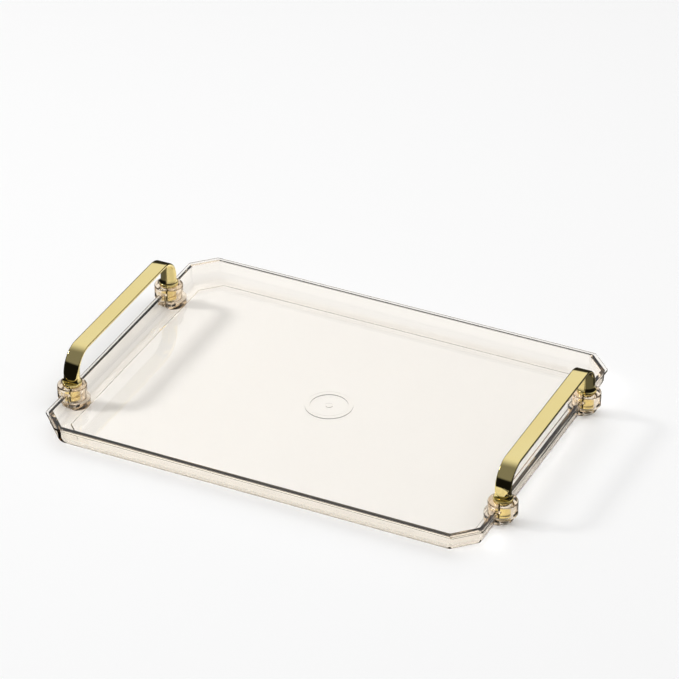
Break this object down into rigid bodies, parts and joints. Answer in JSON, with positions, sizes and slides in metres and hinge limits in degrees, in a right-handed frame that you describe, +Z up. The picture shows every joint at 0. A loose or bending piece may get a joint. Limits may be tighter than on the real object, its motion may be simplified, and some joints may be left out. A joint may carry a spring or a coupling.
{
  "type": "dresser vanity tray",
  "caption": "Clear champagne plastic tray with cut corners, a low wall and gold strap handles plugged into rim sockets.",
  "frame": {"origin": "middle of the tray's base on the resting surface", "axes": "+X along the long side, +Y from the front to the back, +Z up"},
  "size_m": [0.369, 0.264, 0.045],
  "materials": {
    "clear_plastic": "clear moulded plastic with a light champagne tint, polished",
    "gold_plate": "mirror-bright gold plating",
    "steel": "zinc-plated steel"
  },
  "bodies": {
    "root": {"tray_body": "clear_plastic", "handle_left": "gold_plate", "handle_right": "gold_plate", "screw_left_front": "steel", "screw_left_back": "steel", "screw_right_front": "steel", "screw_right_back": "steel"}
  },
  "joints": []
}
